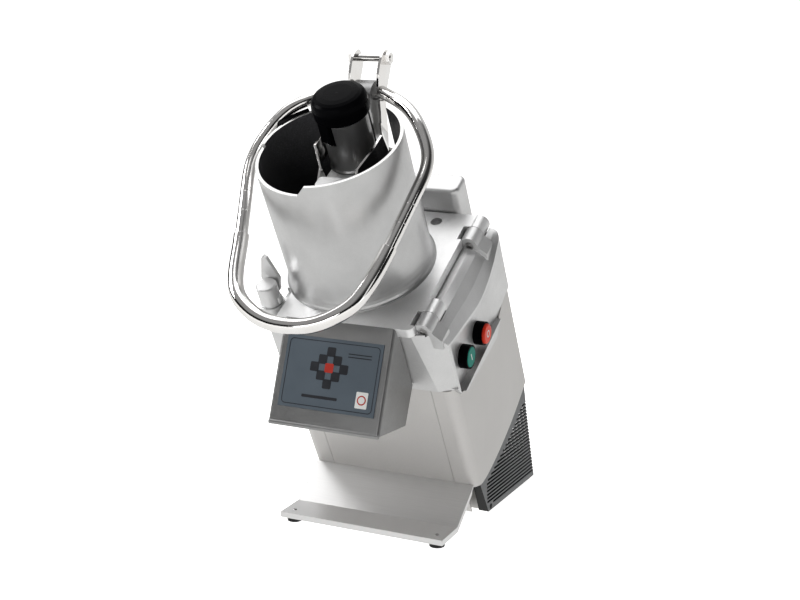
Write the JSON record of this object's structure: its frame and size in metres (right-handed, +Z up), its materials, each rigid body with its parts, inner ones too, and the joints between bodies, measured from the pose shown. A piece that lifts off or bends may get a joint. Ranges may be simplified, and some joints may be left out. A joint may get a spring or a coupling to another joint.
{
  "type": "vegetable dicer",
  "caption": "Countertop vegetable dicer: leaning base, hinged feed head with hopper, bail lever, pusher, plunger tube and outlet hood.",
  "frame": {"origin": "bottom centre of the whole machine's box, on the floor under the feet", "axes": "+X to the right seen from the front, +Y to the back, +Z up; the apron and outlet hood face -Y"},
  "size_m": [0.2662, 0.4448, 0.583],
  "materials": {
    "brushed_sheet": "satin brushed sheet",
    "feet_rubber": "moulded rubber",
    "plain_steel": "turned or ground",
    "vent_plastic": "fine textured moulding",
    "black_plastic": "satin black moulding",
    "cast_aluminium": "fine blasted satin casting",
    "grey_plastic": "moulded housing",
    "machined_aluminium": "machined",
    "belt_rubber": "ribbed belt",
    "motor_paint": "painted aluminium",
    "ceramic_white": "white moulding",
    "hood_casting": "fine blasted satin casting",
    "label_foil": "printed foil plate",
    "polished_steel": "mirror polished",
    "green_plastic": "gloss moulding with a printed bar",
    "red_plastic": "gloss moulding with a printed ring"
  },
  "bodies": {
    "base": {"apron_plate": "brushed_sheet", "feet_front": "feet_rubber", "feet_rear": "feet_rubber", "foot_screws": "plain_steel", "floor_tray": "brushed_sheet", "vent_cover": "vent_plastic", "vent_screws": "black_plastic", "body_shell": "brushed_sheet", "front_panel": "brushed_sheet", "top_casting": "cast_aluminium", "rear_housing": "cast_aluminium", "hinge_pins": "plain_steel", "lock_post": "plain_steel", "safety_switch": "grey_plastic", "contact_blocks": "grey_plastic", "button_boots": "feet_rubber", "motor_plate": "plain_steel", "bearing_housing": "machined_aluminium", "shaft_bearings": "plain_steel", "shaft_seal": "black_plastic", "drive_belt": "belt_rubber", "motor_body": "motor_paint", "motor_bolts": "plain_steel", "electric_box": "grey_plastic", "dicing_grid": "plain_steel", "start_bezel": "black_plastic", "stop_bezel": "black_plastic"},
    "spindle": {"drive_shaft": "plain_steel", "shaft_pulley": "machined_aluminium", "ejector_plate": "ceramic_white", "cutting_disc": "machined_aluminium", "disc_blade": "plain_steel"},
    "rotor": {"motor_shaft": "plain_steel", "motor_pulley": "machined_aluminium", "motor_fan": "black_plastic"},
    "feed_head": {"lid_plate": "cast_aluminium", "feed_cylinder": "cast_aluminium", "rear_lug": "cast_aluminium", "outlet_hood": "hood_casting", "label_plate": "label_foil", "lid_magnet": "plain_steel", "rim_bracket": "black_plastic"},
    "lever": {"lever_plate_left": "polished_steel", "lever_plate_right": "polished_steel", "cross_pin": "polished_steel", "cross_nuts": "polished_steel", "pivot_pin": "polished_steel", "arm_studs": "polished_steel", "bail_arms": "polished_steel", "bail_grip": "polished_steel"},
    "pusher": {"pusher_plate": "cast_aluminium", "pusher_column": "cast_aluminium", "pusher_block": "cast_aluminium", "feed_tube": "cast_aluminium"},
    "plunger": {"plunger_stem": "black_plastic", "plunger_cap": "black_plastic"},
    "lock": {"lock_knob": "cast_aluminium", "lock_lever": "cast_aluminium"},
    "start": {"start_button": "green_plastic"},
    "stop": {"stop_button": "red_plastic"}
  },
  "joints": [
    {"name": "lid_hinge", "type": "hinge", "parent": "base", "child": "feed_head", "pos_m": [0.10109, -0.05245, 0.29914], "axis": [0, 0.866, 0.5], "range_deg": [0, 95]},
    {"name": "bail_hinge", "type": "hinge", "parent": "feed_head", "child": "lever", "pos_m": [-0.01391, -0.01155, 0.52829], "axis": [-1, 0, 0], "range_deg": [0, 44]},
    {"name": "pusher_slide", "type": "slide", "parent": "feed_head", "child": "pusher", "axis": [0, -0.5, 0.866], "range_m": [0, 0.0909]},
    {"name": "plunger_slide", "type": "slide", "parent": "pusher", "child": "plunger", "axis": [0, -0.5, 0.866], "range_m": [0, 0.16]},
    {"name": "lock_turn", "type": "hinge", "parent": "base", "child": "lock", "pos_m": [-0.10191, -0.09259, 0.28866], "axis": [0, 0.5, -0.866], "range_deg": [0, 90]},
    {"name": "start_push", "type": "slide", "parent": "base", "child": "start", "axis": [-1, 0, 0], "range_m": [0, 0.0035], "stiffness_N_per_m": 400},
    {"name": "stop_push", "type": "slide", "parent": "base", "child": "stop", "axis": [-1, 0, 0], "range_m": [0, 0.0035], "stiffness_N_per_m": 400},
    {"name": "disc_spin", "type": "hinge", "parent": "base", "child": "spindle", "pos_m": [-0.01391, -0.00768, 0.29959], "axis": [0, -0.5, 0.866], "continuous": true},
    {"name": "motor_spin", "type": "hinge", "parent": "base", "child": "rotor", "pos_m": [0.06009, 0.07378, 0.1965], "axis": [0, -0.5, 0.866], "continuous": true}
  ],
  "couplings": [
    {"joint": "pusher_slide", "follows": "bail_hinge", "m_per_rad": 0.118},
    {"joint": "motor_spin", "follows": "disc_spin", "ratio": 2.8}
  ]
}
